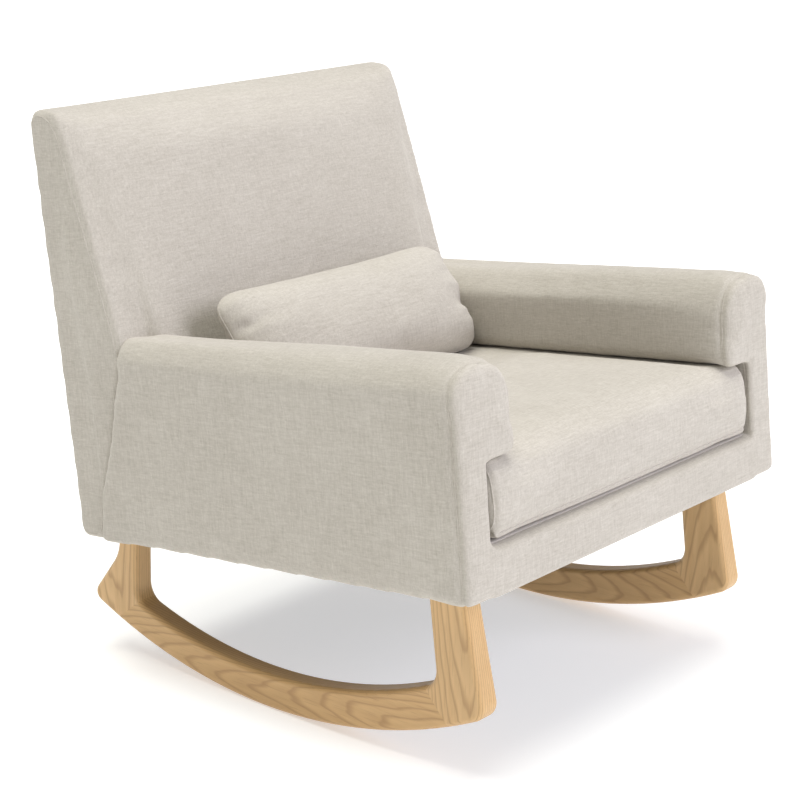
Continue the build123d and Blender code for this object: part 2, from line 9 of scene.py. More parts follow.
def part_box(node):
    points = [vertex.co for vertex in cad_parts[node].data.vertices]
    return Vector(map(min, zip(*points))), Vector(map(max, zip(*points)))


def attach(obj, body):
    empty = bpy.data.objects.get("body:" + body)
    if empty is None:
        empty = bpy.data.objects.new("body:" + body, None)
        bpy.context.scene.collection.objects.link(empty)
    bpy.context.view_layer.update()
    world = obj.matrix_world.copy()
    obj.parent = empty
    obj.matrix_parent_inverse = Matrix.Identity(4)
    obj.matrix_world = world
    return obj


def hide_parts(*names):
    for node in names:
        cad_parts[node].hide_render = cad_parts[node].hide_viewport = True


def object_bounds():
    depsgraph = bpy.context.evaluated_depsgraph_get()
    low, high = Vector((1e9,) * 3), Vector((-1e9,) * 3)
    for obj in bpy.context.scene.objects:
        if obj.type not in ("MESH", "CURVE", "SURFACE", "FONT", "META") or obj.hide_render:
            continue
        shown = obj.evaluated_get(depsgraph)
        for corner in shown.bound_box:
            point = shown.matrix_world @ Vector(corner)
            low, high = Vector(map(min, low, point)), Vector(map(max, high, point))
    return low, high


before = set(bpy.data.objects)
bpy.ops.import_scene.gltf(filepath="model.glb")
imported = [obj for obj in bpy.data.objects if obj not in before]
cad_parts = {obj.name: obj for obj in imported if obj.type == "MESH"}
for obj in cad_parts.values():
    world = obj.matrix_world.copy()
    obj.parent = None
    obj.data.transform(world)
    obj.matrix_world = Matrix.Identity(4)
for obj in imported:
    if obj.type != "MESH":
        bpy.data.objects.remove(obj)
cad_low, cad_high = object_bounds()
scene = bpy.context.scene

# Metres, front faces -Y. The seat box is tipped back, so upholstery is placed in body axes:
# u runs rearward along the base, v rises square to it, X is shared.
TIP = math.radians(6.0)
BORDER_LOW, BORDER_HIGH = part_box("front_border")
BASE_Y = BORDER_LOW.y
BASE_Z = BORDER_LOW.z + 0.0096 * math.sin(TIP)
HALF_WIDTH = cad_high.x


COS_TIP, SIN_TIP = math.cos(TIP), math.sin(TIP)


def to_world(x, u, v):
    """A point in world axes from body axes."""
    y = BASE_Y + u * COS_TIP + v * SIN_TIP
    z = BASE_Z - u * SIN_TIP + v * COS_TIP
    return Vector((x, y, z))


def to_body(p):
    """X, u and v of a world point."""
    y = p.y - BASE_Y
    z = p.z - BASE_Z
    return p.x, y * COS_TIP - z * SIN_TIP, y * SIN_TIP + z * COS_TIP


U_AXIS = to_world(0, 1, 0) - to_world(0, 0, 0)
V_AXIS = to_world(0, 0, 1) - to_world(0, 0, 0)


# ---------------------------------------------------------------- mesh helpers


def add_object(name, mesh, body):
    """Links a mesh or curve and rides it on its body."""
    obj = bpy.data.objects.new(name, mesh)
    scene.collection.objects.link(obj)
    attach(obj, body)
    return obj


def take(obj, mesh):
    """Gives an object a new mesh and drops the old one."""
    old = obj.data
    obj.data = mesh
    bpy.data.meshes.remove(old)


def settle(obj):
    """Applies every modifier on an object."""
    graph = bpy.context.evaluated_depsgraph_get()
    mesh = bpy.data.meshes.new_from_object(obj.evaluated_get(graph))
    obj.modifiers.clear()
    take(obj, mesh)


def merged_copy(name, body, nodes, stretch):
    """One object holding copies of CAD solids with every point moved by stretch(point)."""
    bm = bmesh.new()
    for node in nodes:
        bm.from_mesh(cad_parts[node].data)
    bmesh.ops.remove_doubles(bm, verts=bm.verts, dist=1e-5)
    for vert in bm.verts:
        vert.co = stretch(vert.co)
    mesh = bpy.data.meshes.new(name)
    bm.to_mesh(mesh)
    bm.free()
    return add_object(name, mesh, body)


def outer_shell(obj, voxel):
    """Voxel remesh, keeping only the largest connected surface."""
    remesh = obj.modifiers.new("remesh", "REMESH")
    remesh.mode = "VOXEL"
    remesh.voxel_size = voxel
    settle(obj)
    bm = bmesh.new()
    bm.from_mesh(obj.data)
    bm.verts.ensure_lookup_table()
    seen = set()
    groups = []
    for start in bm.verts:
        if start.index in seen:
            continue
        seen.add(start.index)
        group = [start]
        for vert in group:
            for edge in vert.link_edges:
                other = edge.other_vert(vert)
                if other.index not in seen:
                    seen.add(other.index)
                    group.append(other)
        groups.append(group)
    groups.sort(key=len)
    for group in groups[:-1]:
        bmesh.ops.delete(bm, geom=group, context="VERTS")
    bm.to_mesh(obj.data)
    bm.free()


def smooth(obj, factor, rounds):
    """Evens out a mesh."""
    modifier = obj.modifiers.new("smooth", "SMOOTH")
    modifier.factor = factor
    modifier.iterations = rounds
    settle(obj)


def move(obj, shift):
    """Moves each vertex by shift(point, normal)."""
    normals = [v.normal.copy() for v in obj.data.vertices]
    for vert, normal in zip(obj.data.vertices, normals):
        vert.co += shift(vert.co, normal)
    obj.data.update()


CLOTH_FRAMES = 20


def inflate(obj, cap, pressure=4.0, limit=None):
    """Cloth under pressure, with a cap on how far a point may move."""
    start = [v.co.copy() for v in obj.data.vertices]
    cloth = obj.modifiers.new("stuffing", "CLOTH")
    cloth.settings.use_pressure = True
    cloth.settings.uniform_pressure_force = pressure
    cloth.settings.effector_weights.gravity = 0.0
    cloth.settings.quality = 4
    cloth.settings.mass = 0.3
    cloth.settings.tension_stiffness = 18.0
    cloth.settings.compression_stiffness = 18.0
    cloth.settings.bending_stiffness = 0.6
    cloth.collision_settings.use_collision = False
    cloth.point_cache.frame_start = 1
    cloth.point_cache.frame_end = CLOTH_FRAMES
    for number in range(1, CLOTH_FRAMES + 1):
        scene.frame_set(number)
    graph = bpy.context.evaluated_depsgraph_get()
    mesh = bpy.data.meshes.new_from_object(obj.evaluated_get(graph))
    obj.modifiers.clear()
    take(obj, mesh)
    scene.frame_set(1)
    for vert, old in zip(obj.data.vertices, start):
        step = vert.co - old
        room = cap(old) if callable(cap) else cap
        if step.length > room:
            vert.co = old + step * (room / step.length)
        if limit:
            vert.co = limit(vert.co)
    obj.data.update()


def refine(obj):
    """One subdivision, with smooth shading."""
    modifier = obj.modifiers.new("subdivision", "SUBSURF")
    modifier.levels = 1
    modifier.render_levels = 1
    settle(obj)
    for polygon in obj.data.polygons:
        polygon.use_smooth = True


def groove(obj, distance, depth, width, where=None):
    """Pulls the surface in along the line where distance(p) is zero."""

    def shift(p, normal):
        if where and not where(p):
            return Vector()
        gap = distance(p) / width
        if abs(gap) > 3.0:
            return Vector()
        return -normal * depth * math.exp(-gap * gap)

    move(obj, shift)


def section(obj, origin, normal, keep):
    """The polylines in which a plane cuts a mesh, cut down to the points that keep(p) accepts."""
    bm = bmesh.new()
    bm.from_mesh(obj.data)
    result = bmesh.ops.bisect_plane(
        bm, geom=bm.verts[:] + bm.edges[:] + bm.faces[:], plane_co=origin, plane_no=normal, dist=1e-6
    )
    cut = [g for g in result["geom_cut"] if isinstance(g, bmesh.types.BMEdge)]
    cut = [e for e in cut if all(keep(v.co) for v in e.verts)]
    links = {}
    for edge in cut:
        a, b = edge.verts
        links.setdefault(a, []).append(b)
        links.setdefault(b, []).append(a)
    runs = []
    used = set()
    order = sorted(links, key=lambda v: (len(links[v]) != 1, v.index))
    for start in order:
        if start in used:
            continue
        run = [start]
        used.add(start)
        current = start
        while True:
            ahead = [v for v in links[current] if v not in used]
            if not ahead:
                break
            current = ahead[0]
            used.add(current)
            run.append(current)
        closed = len(run) > 4 and run[0] in links[run[-1]]
        points = [v.co.copy() for v in run]
        if len(points) > 3:
            runs.append((points, closed))
    bm.free()
    return runs


def thinned(points, closed, spacing):
    """The points of a polyline at an even spacing, lightly smoothed."""
    if closed:
        points = points + [points[0]]
    picked = [points[0]]
    travelled = 0.0
    for a, b in zip(points, points[1:]):
        travelled += (b - a).length
        if travelled >= spacing:
            picked.append(b)
            travelled = 0.0
    if closed and (picked[-1] - picked[0]).length < spacing * 0.6:
        picked.pop()
    elif not closed:
        picked.append(points[-1])
    for _ in range(2):
        source = [p.copy() for p in picked]
        count = len(picked)
        inner = range(count) if closed else range(1, count - 1)
        for i in inner:
            picked[i] = source[i] * 0.5 + (source[i - 1] + source[(i + 1) % count]) * 0.25
    return picked


SEAM_STEP = 0.008
SEAM_LEAST = 0.02


def seam_curve(name, body, owner, runs, radius, sink=0.3):
    """A thin raised seam that lies on the owner's surface."""
    tree = BVHTree.FromObject(owner, bpy.context.evaluated_depsgraph_get())
    data = bpy.data.curves.new(name, "CURVE")
    data.dimensions = "3D"
    data.bevel_depth = radius
    data.bevel_resolution = 2
    data.resolution_u = 2
    for points, closed in runs:
        picked = thinned(points, closed, SEAM_STEP)
        length = sum((b - a).length for a, b in zip(picked, picked[1:]))
        if len(picked) < 4 or length < SEAM_LEAST:
            continue
        spline = data.splines.new("NURBS")
        spline.points.add(len(picked) - 1)
        for point, co in zip(spline.points, picked):
            near, normal, _, _ = tree.find_nearest(co)
            place = near - normal * radius * sink
            point.co = (*place, 1.0)
        spline.order_u = 3
        spline.use_cyclic_u = closed
        spline.use_endpoint_u = not closed
    line = bpy.data.objects.new(name + "_line", data)
    scene.collection.objects.link(line)
    graph = bpy.context.evaluated_depsgraph_get()
    mesh = bpy.data.meshes.new_from_object(line.evaluated_get(graph))
    bpy.data.objects.remove(line)
    return add_object(name, mesh, body)


def prism(bm, outline, x0, x1):
    """Adds a closed prism across X to bm from a (u, v) outline."""
    near = [bm.verts.new(to_world(x0, u, v)) for u, v in outline]
    far = [bm.verts.new(to_world(x1, u, v)) for u, v in outline]
    bm.faces.new(near)
    bm.faces.new(list(reversed(far)))
    count = len(outline)
    for i in range(count):
        j = (i + 1) % count
        bm.faces.new((near[j], near[i], far[i], far[j]))


def rounded(points, radii):
    """A (u, v) outline with some corners rounded by arcs."""
    outline = []
    count = len(points)
    for i, (corner, radius) in enumerate(zip(points, radii)):
        if radius <= 0:
            outline.append(corner)
            continue
        here = Vector(corner)
        back = (Vector(points[i - 1]) - here).normalized()
        ahead = (Vector(points[(i + 1) % count]) - here).normalized()
        reach = radius / math.tan(back.angle(ahead) / 2)
        a = here + back * reach
        b = here + ahead * reach
        for step in range(7):
            t = step / 6
            curve = a * (1 - t) ** 2 + here * 2 * t * (1 - t) + b * t * t
            outline.append((curve.x, curve.y))
    return outline


def mesh_object(name, body, build):
    """An object whose mesh build(bm) makes."""
    bm = bmesh.new()
    build(bm)
    bmesh.ops.recalc_face_normals(bm, faces=bm.faces)
    mesh = bpy.data.meshes.new(name)
    bm.to_mesh(mesh)
    bm.free()
    return add_object(name, mesh, body)


def ease(t):
    """Smooth step from 0 to 1."""
    t = min(1.0, max(0.0, t))
    return t * t * (3 - 2 * t)


# ---------------------------------------------------------------- arms and front border

VOXEL = 0.006
CHAIR = "chair"
BACK_LEAN = 0.2587


def seam_u(v):
    """Front edge of the back at its outer corners, above the arms."""
    return 0.6195 + (v - 0.284) * BACK_LEAN


def foam_u(v):
    """Padded front of the back between the arms."""
    return 0.548 + (v - 0.072) * BACK_LEAN


WING = [
    (0.700, 0.0),
    (0.690, 0.072),
    (0.676, 0.112),
    (0.659, 0.160),
    (0.643, 0.221),
    (0.628, 0.262),
    (seam_u(0.300), 0.300),
]
WALL_X = 0.320
BOLSTER_X = 0.262
BOLSTER_V = 0.184
SEAM_U = 0.0075


def shell_fill(bm):
    """The arms' frames and the front rail as plain blocks, so the remesh finds no hollow."""
    for side in (-1, 1):
        wall = [(0.009, 0.0005), (0.600, 0.0005), (0.600, 0.285), (0.009, 0.285)]
        prism(bm, wall, side * 0.326, side * 0.369)
        arm_board = [(0.025, 0.283), (0.592, 0.283), (0.592, 0.304), (0.025, 0.304)]
        prism(bm, arm_board, side * 0.290, side * 0.363)
        rear = [(0.598, 0.0005)] + [(u + 0.008, v) for u, v in WING] + [(0.630, 0.304), (0.598, 0.304)]
        prism(bm, rear, side * 0.324, side * 0.369)
        rail_end = [(0.560, 0.100), (0.640, 0.100), (0.630, 0.180), (0.570, 0.180)]
        prism(bm, rail_end, side * 0.3205, side * 0.330)
    front_rail = [(0.0003, 0.0005), (0.050, 0.0005), (0.050, 0.066), (0.004, 0.068), (0.0003, 0.064)]
    prism(bm, front_rail, -0.334, 0.334)


def lengthen(p):
    """Runs the arms a little way into the back, and the border into the arms."""
    x, u, v = to_body(p)
    if abs(x) < 0.3199 and v < 0.0700:
        return p
    return to_world(x, u * 1.018, v)


shell = merged_copy("arms_and_border", CHAIR, ["arm_left", "arm_right", "front_border"], lengthen)
fill = mesh_object("shell_fill", CHAIR, shell_fill)
bm = bmesh.new()
bm.from_mesh(shell.data)
bm.from_mesh(fill.data)
bm.to_mesh(shell.data)
bm.free()
bpy.data.objects.remove(fill)
outer_shell(shell, VOXEL)
smooth(shell, 0.5, 3)


def shell_room(p):
    """How far the arm covers may swell."""
    x, u, v = to_body(p)
    if abs(x) < 0.3215 and v < 0.19:
        return 0.0008
    if u < 0.02:
        return 0.0035
    return 0.0055


def shell_limit(p):
    """Keeps the covers out of the cushion's slot and over the legs."""
    x, u, v = to_body(p)
    side = 1 if x > 0 else -1
    if 0.0700 < v < BOLSTER_V - 0.001 and abs(x) < WALL_X:
        x = side * WALL_X
    if abs(x) < WALL_X - 0.002 and BOLSTER_V - 0.02 < v < BOLSTER_V:
        v = BOLSTER_V
    x = side * min(abs(x), HALF_WIDTH + 0.003)
    v = max(v, 0.0)
    if abs(x) < 0.325 and v < 0.09:
        v = min(v, 0.0694)
    return to_world(x, max(u, -0.004), v)


inflate(shell, shell_room, limit=shell_limit)
smooth(shell, 0.5, 4)
DOME = 0.14
DOME_START, DOME_REACH = 0.322, 0.065
FRONT_DROOP, DROOP_REACH = 0.005, 0.050
REAR_FALL = 0.008
BORDER_DROP = 0.004
ARM_SIDE_PROUD, ARM_FRONT_PROUD = 0.006, 0.008
SKIRT_DROP = 0.006


def skirt(x, u, v, rear_u):
    """1 at the bottom edge of the covers, outside the legs, fading out upward."""
    outside = max(ease((abs(x) - 0.327) / 0.004), ease((0.047 - u) / 0.004), ease((u - rear_u) / 0.004))
    return outside * ease((0.045 - v) / 0.040)


def plump_arms(p, normal):
    """Domes the arm tops, lets them droop in front, and sets the cover proud of its frame."""
    x, u, v = to_body(p)
    side = 1 if x > 0 else -1
    inward = min(max(DOME_START - abs(x), 0.0), DOME_REACH)
    crest = ease((v - 0.22) / 0.08)
    dome = DOME - math.sqrt(DOME * DOME - inward * inward)
    lower = dome * ease((v - 0.20) / 0.08)
    lower += FRONT_DROOP * ease((DROOP_REACH - u) / DROOP_REACH) * crest
    lower += REAR_FALL * ease((u - 0.20) / 0.36) * crest * ease((0.358 - abs(x)) / 0.030)
    lower += SKIRT_DROP * skirt(x, u, v, 0.90)
    on_border = ease((0.322 - abs(x)) / 0.004) * ease((0.020 - u) / 0.010) * ease((v - 0.045) / 0.020)
    lower += BORDER_DROP * on_border
    out = ARM_SIDE_PROUD * ease((abs(x) - 0.336) / 0.020)
    ahead = ARM_FRONT_PROUD * ease((0.030 - u) / 0.025)
    return Vector((side * out, 0, 0)) - V_AXIS * lower - U_AXIS * ahead


move(shell, plump_arms)
refine(shell)


def front_seam_gap(p):
    """Distance from the seam round the arm fronts."""
    return to_body(p)[1] - SEAM_U


def on_arm_rim(p):
    """Where the front seam of an arm runs."""
    x, u, v = to_body(p)
    return abs(x) > 0.355 or v > 0.186 or (abs(x) > 0.30 and v > 0.078)


groove(shell, front_seam_gap, 0.0026, 0.004, on_arm_rim)
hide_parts("arm_left", "arm_right", "front_border")
front_seams = seam_curve(
    "arm_front_seams",
    CHAIR,
    shell,
    section(shell, to_world(0, SEAM_U, 0), U_AXIS, on_arm_rim),
    0.0015,
)

# ---------------------------------------------------------------- back

BACK_TOP = 0.646
PANEL_TOP = 0.606
BACK_HALF = HALF_WIDTH - 0.002


def back_body(bm):
    """The whole padded back as overlapping prisms."""
    outline = [(u + 0.001, max(v, 0.0005)) for u, v in WING]
    outline += [(seam_u(BACK_TOP), BACK_TOP), (0.7678, BACK_TOP), (0.7668, PANEL_TOP), (0.7530, 0.0005)]
    radii = [0.0] * len(WING) + [0.029, 0.024, 0.0, 0.0]
    prism(bm, rounded(outline, radii), -BACK_HALF, BACK_HALF)
    foam = [
        (foam_u(0.130), 0.130),
        (foam_u(0.585), 0.585),
        (seam_u(0.600) + 0.010, 0.606),
        (0.740, 0.606),
        (0.700, 0.130),
    ]
    prism(bm, foam, -WALL_X + 0.0007, WALL_X - 0.0007)


back = mesh_object("back_cover", CHAIR, back_body)
outer_shell(back, VOXEL)
smooth(back, 0.5, 3)


CROWN = 0.0175


def crown_back(p, normal):
    """Draws the stepped front of the back into one soft crown above the arms."""
    x, u, v = to_body(p)
    if normal.dot(U_AXIS) > -0.15 or v < 0.29:
        return Vector()
    across = max(0.0, 1.0 - (abs(x) / BACK_HALF) ** 3.2)
    upper = ease((BACK_TOP - 0.010 - v) / 0.075)
    target = seam_u(v) - CROWN * across * upper
    share = ease((v - 0.300) / 0.160) * ease((BACK_TOP - 0.022 - v) / 0.030)
    return U_AXIS * (target - u) * share


move(back, crown_back)
smooth(back, 0.5, 8)


def back_room(p):
    """How far the back cover may swell."""
    x, u, v = to_body(p)
    if u > 0.735:
        return 0.0010
    if abs(x) > BACK_HALF - 0.012:
        return 0.0022
    return 0.004 + 0.006 * ease((v - 0.30) / 0.22)


def back_limit(p):
    """Keeps the cover off the seat cushion and inside the box."""
    x, u, v = to_body(p)
    side = 1 if x > 0 else -1
    x = side * min(abs(x), HALF_WIDTH + 0.002)
    if v < 0.19 and abs(x) < WALL_X:
        u = max(u, foam_u(v))
    if abs(x) < WALL_X and v < 0.30 and u < 0.66:
        v = max(v, 0.129)
    return to_world(x, u, max(v, 0.0))


inflate(back, back_room, limit=back_limit)
smooth(back, 0.5, 7)


BACK_SIDE_PROUD, BACK_REAR_PROUD = 0.005, 0.008


def plump_back(p, normal):
    """Sets the back cover proud of its frame at the sides, the rear and the bottom edge."""
    x, u, v = to_body(p)
    side = 1 if x > 0 else -1
    out = BACK_SIDE_PROUD * ease((abs(x) - 0.340) / 0.025)
    behind = BACK_REAR_PROUD * ease((u - 0.715) / 0.030)
    lower = SKIRT_DROP * skirt(x, u, v, 0.737)
    return Vector((side * out, 0, 0)) + U_AXIS * behind - V_AXIS * lower


move(back, plump_back)
refine(back)
SIDE_SEAM_X = BACK_HALF + 0.0005


def side_seam_gap(p):
    """Distance from the seams round the side boxing."""
    return abs(p.x) - SIDE_SEAM_X


def on_boxing(p):
    """Where the boxing seams of the back run."""
    x, u, v = to_body(p)
    return v > 0.285 or u > 0.70


def puckers(p, normal):
    """Small gathers along the boxing seam."""
    x, u, v = to_body(p)
    gap = abs(abs(x) - SIDE_SEAM_X)
    if gap > 0.030 or v < 0.33:
        return Vector()
    wave = noise.noise(Vector((u * 70.0, v * 70.0, 4.0 if x > 0 else 9.0)))
    return normal * 0.0007 * wave * math.exp(-((gap / 0.014) ** 2))


groove(back, side_seam_gap, 0.0024, 0.004, on_boxing)
move(back, puckers)
PANEL_X = 0.358


def panel_rim(p):
    """Distance from the line where the outside back is sewn on."""
    x, u, v = to_body(p)
    return max(abs(x) - PANEL_X, v - PANEL_TOP)


def on_rear(p):
    """The rear face of the back."""
    x, u, v = to_body(p)
    return u > 0.750 and v < 0.63


groove(back, panel_rim, 0.0018, 0.0035, on_rear)
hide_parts("back_pad", "outside_back")


def rear_only(p):
    x, u, v = to_body(p)
    return u > 0.750 and abs(x) < PANEL_X + 0.003 and v < PANEL_TOP + 0.002


back_runs = []
for side in (-1, 1):
    back_runs += section(back, Vector((side * SIDE_SEAM_X, 0, 0)), Vector((1, 0, 0)), on_boxing)
panel_runs = section(back, to_world(0, 0, PANEL_TOP), V_AXIS, rear_only)
for side in (-1, 1):
    panel_runs += section(back, Vector((side * PANEL_X, 0, 0)), Vector((1, 0, 0)), rear_only)
back_seams = seam_curve("back_boxing_seams", CHAIR, back, back_runs, 0.0014)
panel_seams = seam_curve("outside_back_seams", CHAIR, back, panel_runs, 0.0012)

# ---------------------------------------------------------------- seat cushion

CUSHION_HALF = WALL_X - 0.0012
CUSHION_LOW = 0.0704
CUSHION_TOP = 0.1834


def cushion_body(bm):
    """The cushion a little under size, with a full waterfall front."""
    top = CUSHION_TOP - 0.004
    low = CUSHION_LOW
    outline = [
        (-0.008, low),
        (-0.014, 0.120),
        (-0.008, top),
        (foam_u(top) - 0.006, top),
        (foam_u(low) - 0.006, low),
    ]
    half = CUSHION_HALF - 0.001
    prism(bm, rounded(outline, [0.004, 0.030, 0.030, 0.016, 0.010]), -half, half)


cushion = mesh_object("seat_cushion_cover", "seat_cushion", cushion_body)
outer_shell(cushion, VOXEL)
smooth(cushion, 0.5, 4)


def cushion_limit(p):
    """Keeps the cushion in its well: between the walls, under the arms, off the deck."""
    x, u, v = to_body(p)
    side = 1 if x > 0 else -1
    x = side * min(abs(x), CUSHION_HALF)
    v = max(v, CUSHION_LOW - 0.0002)
    inner = ease((BOLSTER_X - 0.002 - abs(x)) / 0.05)
    rest = ease((0.40 - u) / 0.10)
    crown = 0.0135 * inner * (0.15 + 0.85 * rest)
    v = min(v, CUSHION_TOP + crown)
    u = max(u, -0.016)
    u = min(u, foam_u(v) - 0.0012)
    return to_world(x, u, v)


def crown_cushion(p, normal):
    """A soft rise toward the middle of the top."""
    x, u, v = to_body(p)
    if v < CUSHION_TOP - 0.045:
        return Vector()
    across = max(0.0, 1.0 - (abs(x) / 0.27) ** 2.5)
    along = ease(u / 0.10) * ease((0.46 - u) / 0.15)
    rise = ease((v - (CUSHION_TOP - 0.045)) / 0.035)
    return V_AXIS * 0.009 * across * along * rise


move(cushion, crown_cushion)
inflate(cushion, 0.009, limit=cushion_limit)
smooth(cushion, 0.5, 3)
refine(cushion)


def front_lip(p, normal):
    """The lower front edge, which hangs over the top of the border."""
    x, u, v = to_body(p)
    return -V_AXIS * 0.0035 * ease((0.010 - u) / 0.008) * ease((CUSHION_LOW + 0.016 - v) / 0.014)


def cushion_wrinkles(p, normal):
    """Slack in the cover: long soft folds on the top and front, small gathers at the ends."""
    x, u, v = to_body(p)
    top = ease((normal.dot(V_AXIS) - 0.3) / 0.4)
    front = ease((-normal.dot(U_AXIS) - 0.4) / 0.4)
    soft = noise.noise(Vector((x * 7.0, u * 11.0, v * 9.0 + 3.0))) * 0.0022
    fine = noise.noise(Vector((x * 26.0, u * 40.0, 7.0))) * 0.0007
    end = math.exp(-((abs(x) - 0.30) / 0.018) ** 2)
    gather = noise.noise(Vector((1.5, u * 75.0, v * 75.0))) * 0.0014 * end * (front + 0.3)
    return -normal * abs(soft + fine) * (0.8 * top + 0.6 * front) - normal * abs(gather)


move(cushion, cushion_wrinkles)
move(cushion, front_lip)
CUSHION_SEAM_X = CUSHION_HALF - 0.009
CUSHION_SEAM_V = CUSHION_LOW + 0.0085


def cushion_side_gap(p):
    return abs(p.x) - CUSHION_SEAM_X


def cushion_low_gap(p):
    return to_body(p)[2] - CUSHION_SEAM_V


def above_low_seam(p):
    return to_body(p)[2] > CUSHION_SEAM_V


def inside_ends(p):
    return abs(p.x) < CUSHION_SEAM_X + 0.004


groove(cushion, cushion_side_gap, 0.0020, 0.0045, above_low_seam)
groove(cushion, cushion_low_gap, 0.0022, 0.0045, inside_ends)
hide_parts("seat_cushion")
cushion_runs = []
for side in (-1, 1):
    cushion_runs += section(cushion, Vector((side * CUSHION_SEAM_X, 0, 0)), Vector((1, 0, 0)), above_low_seam)
cushion_runs += section(cushion, to_world(0, 0, CUSHION_SEAM_V), V_AXIS, lambda p: True)
cushion_seams = seam_curve("cushion_seams", "seat_cushion", cushion, cushion_runs, 0.0015)

# ---------------------------------------------------------------- lumbar pillow

PILLOW_LOW = Vector((0.464, 0.1875))
PILLOW_HIGH = Vector((0.553, 0.356))
PILLOW_MID = (PILLOW_LOW + PILLOW_HIGH) / 2
PILLOW_UP = (PILLOW_HIGH - PILLOW_LOW).normalized()
PILLOW_OUT = Vector((-PILLOW_UP.y, PILLOW_UP.x))
PILLOW_HALF = 0.2575
PILLOW_RISE = (PILLOW_HIGH - PILLOW_LOW).length / 2
PILLOW_THICK = 0.0615


def pillow_point(x, up, out):
    """A point of the pillow from its own axes."""
    place = PILLOW_MID + PILLOW_UP * up + PILLOW_OUT * out
    return to_world(x, place.x, place.y)


PILLOW_COLUMNS, PILLOW_ROWS = ((76, 38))


def pillow_folds(s, t, face):
    """Gathers running in from the pillow's ends, and a little slack in its middle."""
    near_end = ease((abs(s) - 0.60) / 0.32)
    wave = math.sin(t * 9.0 + face + 1.5 * noise.noise(Vector((s * 3.0, t * 2.0, 5.0)))) * 0.5
    wave += noise.noise(Vector((s * 2.2, t * 6.5, 2.0 + face)))
    slack = noise.noise(Vector((s * 3.1, t * 1.7, 8.0 + face))) * 0.0035
    return 0.0070 * near_end * wave + slack


def pillow_depth(s, t, face):
    """How far one panel of the filled pillow stands off its middle."""
    ends = max(0.0, 1 - abs(s) ** 3.6) ** 0.56
    depth = PILLOW_THICK * ends * max(0.0, 1 - abs(t) ** 2.3) ** 0.50
    return depth + pillow_folds(s, t, face) * ease(depth / 0.022)


def pillow_body(bm):
    """Two panels sewn round their edge and filled: full in the middle, pointed at the corners."""
    sheets = []
    for face in (-1, 1):
        grid = []
        for j in range(PILLOW_ROWS + 1):
            row = []
            for i in range(PILLOW_COLUMNS + 1):
                s = math.sin(math.pi / 2 * (-1 + 2 * i / PILLOW_COLUMNS))
                t = math.sin(math.pi / 2 * (-1 + 2 * j / PILLOW_ROWS))
                at_rim = i in (0, PILLOW_COLUMNS) or j in (0, PILLOW_ROWS)
                if face == 1 and at_rim:
                    row.append(sheets[0][j][i])
                    continue
                x = s * PILLOW_HALF * (1 - 0.022 * (1 - t * t) - 0.045 * t**10)
                up = t * (PILLOW_RISE + 0.004) * (1 - 0.050 * (1 - s * s) - 0.150 * s**14)
                out = 0.0 if at_rim else face * pillow_depth(s, t, face)
                row.append(bm.verts.new(pillow_point(x, up, out)))
            grid.append(row)
        sheets.append(grid)
    for face, grid in zip((-1, 1), sheets):
        for j in range(PILLOW_ROWS):
            for i in range(PILLOW_COLUMNS):
                quad = [grid[j][i], grid[j][i + 1], grid[j + 1][i + 1], grid[j + 1][i]]
                if face == -1:
                    quad.reverse()
                bm.faces.new(quad)


def pillow_limit(p):
    """Rests the pillow on the seat cushion and against the back."""
    x, u, v = to_body(p)
    v = max(v, CUSHION_TOP + 0.0045)
    return to_world(x, min(u, foam_u(v) - 0.0015), v)


pillow = mesh_object("lumbar_pillow_cover", "lumbar_pillow", pillow_body)
inflate(pillow, 0.0045, pressure=3.0, limit=pillow_limit)
pillow_edge = [
    [j * (PILLOW_COLUMNS + 1) + i for i, j in run]
    for run in (
        [(i, 0) for i in range(PILLOW_COLUMNS)],
        [(PILLOW_COLUMNS, j) for j in range(PILLOW_ROWS)],
        [(i, PILLOW_ROWS) for i in range(PILLOW_COLUMNS, 0, -1)],
        [(0, j) for j in range(PILLOW_ROWS, 0, -1)],
    )
]
smooth(pillow, 0.4, 1)
pillow_rim = [pillow.data.vertices[k].co.copy() for run in pillow_edge for k in run]
refine(pillow)
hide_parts("lumbar_pillow")


pillow_seam = seam_curve("pillow_seam", "lumbar_pillow", pillow, [(pillow_rim, True)], 0.0014, sink=0.1)

# ---------------------------------------------------------------- deck and dust cover


def deck_body(bm):
    """A thin padded deck, dished a little between the rails."""
    columns, rows = 64, 68
    low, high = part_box("seat_deck")
    half, front, rear = high.x - 0.0003, 0.0103, 0.6877
    sheets = []
    for face in (0, 1):
        grid = []
        for j in range(rows + 1):
            row = []
            for i in range(columns + 1):
                s, t = -1 + 2 * i / columns, -1 + 2 * j / rows
                rim = (1 - s**10) * (1 - t**10)
                dish = (1 - s * s) * (1 - t * t)
                v = 0.0612 + face * 0.0082 - (1 - rim) * (0.002 if face else -0.002)
                v -= 0.0008 * dish * face
                row.append(bm.verts.new(to_world(s * half, front + (rear - front) * (t + 1) / 2, v)))
            grid.append(row)
        sheets.append(grid)
    for face, grid in enumerate(sheets):
        for j in range(rows):
            for i in range(columns):
                quad = [grid[j][i], grid[j][i + 1], grid[j + 1][i + 1], grid[j + 1][i]]
                bm.faces.new(quad if face else quad[::-1])
    rim_low, rim_top = (
        grid[0] + [r[-1] for r in grid[1:]] + grid[-1][-2::-1] + [r[0] for r in grid[-2:0:-1]]
        for grid in sheets
    )
    for i in range(len(rim_top)):
        j = (i + 1) % len(rim_top)
        bm.faces.new((rim_low[i], rim_low[j], rim_top[j], rim_top[i]))


deck = mesh_object("deck_cover", CHAIR, deck_body)
for polygon in deck.data.polygons:
    polygon.use_smooth = True
DECK_SEAM_U = 0.085


def deck_gap(p):
    return to_body(p)[1] - DECK_SEAM_U


def deck_upper(p):
    return to_body(p)[2] > 0.066


